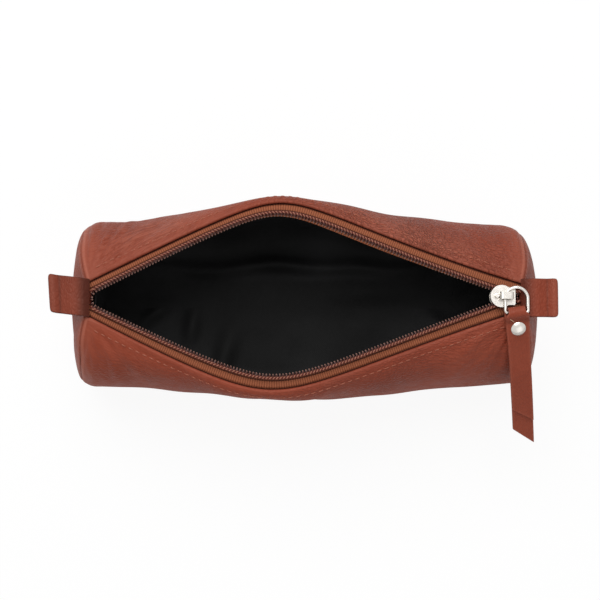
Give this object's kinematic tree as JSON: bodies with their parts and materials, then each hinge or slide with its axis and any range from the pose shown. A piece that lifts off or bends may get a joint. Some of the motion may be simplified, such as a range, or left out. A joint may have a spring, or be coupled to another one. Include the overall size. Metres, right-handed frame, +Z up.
{
  "type": "toiletry pouch",
  "caption": "Barrel-shaped lined leather pouch with domed round ends, grip tabs, a zip pulled open and a riveted strap on the slider's ring.",
  "frame": {"origin": "middle of the flat base", "axes": "+Z up from the base, +X along the barrel towards the end where the slider is, +Y towards the back"},
  "size_m": [0.2185, 0.106, 0.0759],
  "materials": {
    "leather": "reddish-brown grained leather, semi-gloss",
    "stiffener": "thin bonded non-woven",
    "lining": "black satin-like woven lining",
    "thread": "bonded sewing thread",
    "zip_tape": "woven ribbed brown tape",
    "zip_coil": "dark brown nylon coil",
    "nickel": "bright nickel plate"
  },
  "bodies": {
    "root": {"body_panel": "leather", "body_interlining": "stiffener", "body_lining": "lining", "end_panel_left": "leather", "end_panel_right": "leather", "end_lining_left": "lining", "end_lining_right": "lining", "seam_thread_left": "thread", "seam_thread_right": "thread"},
    "front_lip": {"zip_tape_front": "zip_tape", "zip_coil_front": "zip_coil", "topstitch_front": "thread"},
    "back_lip": {"zip_tape_back": "zip_tape", "zip_coil_back": "zip_coil", "topstitch_back": "thread"},
    "slider": {"slider_body": "nickel", "slider_crown": "nickel", "lock_pawl": "nickel"},
    "ring": {"pull_ring": "nickel"},
    "strap": {"pull_strap": "leather", "rivet_cap": "nickel", "rivet_post": "nickel"},
    "tab_left": {"tab_left": "leather"},
    "tab_right": {"tab_right": "leather"}
  },
  "joints": [
    {"name": "slider_travel", "type": "slide", "parent": "root", "child": "slider", "axis": [-1, 0, 0], "range_m": [0, 0.17], "deforming": ["body_panel", "body_interlining", "body_lining"]},
    {"name": "front_lip_close", "type": "slide", "parent": "root", "child": "front_lip", "axis": [0, 1, 0], "range_m": [0, 0.033], "deforming": ["zip_tape_front", "zip_coil_front", "topstitch_front"]},
    {"name": "back_lip_close", "type": "slide", "parent": "root", "child": "back_lip", "axis": [0, -1, 0], "range_m": [0, 0.033], "deforming": ["zip_tape_back", "zip_coil_back", "topstitch_back"]},
    {"name": "ring_pivot", "type": "hinge", "parent": "slider", "child": "ring", "pos_m": [0.0851, 0, 0.0726], "axis": [0, -1, 0], "range_deg": [0, 80]},
    {"name": "strap_pivot", "type": "hinge", "parent": "ring", "child": "strap", "pos_m": [0.0899, -0.0072, 0.0726], "axis": [-1, 0, 0], "range_deg": [0, 105]},
    {"name": "tab_left_flex", "type": "hinge", "parent": "root", "child": "tab_left", "pos_m": [-0.0949, 0, 0.0702], "axis": [0, 1, 0], "range_deg": [-12, 60], "stiffness_Nm_per_rad": 0.02},
    {"name": "tab_right_flex", "type": "hinge", "parent": "root", "child": "tab_right", "pos_m": [0.0949, 0, 0.0702], "axis": [0, -1, 0], "range_deg": [-12, 12], "stiffness_Nm_per_rad": 0.02}
  ],
  "couplings": [
    {"joint": "front_lip_close", "follows": "slider_travel", "ratio": 0.194},
    {"joint": "back_lip_close", "follows": "slider_travel", "ratio": 0.194}
  ]
}
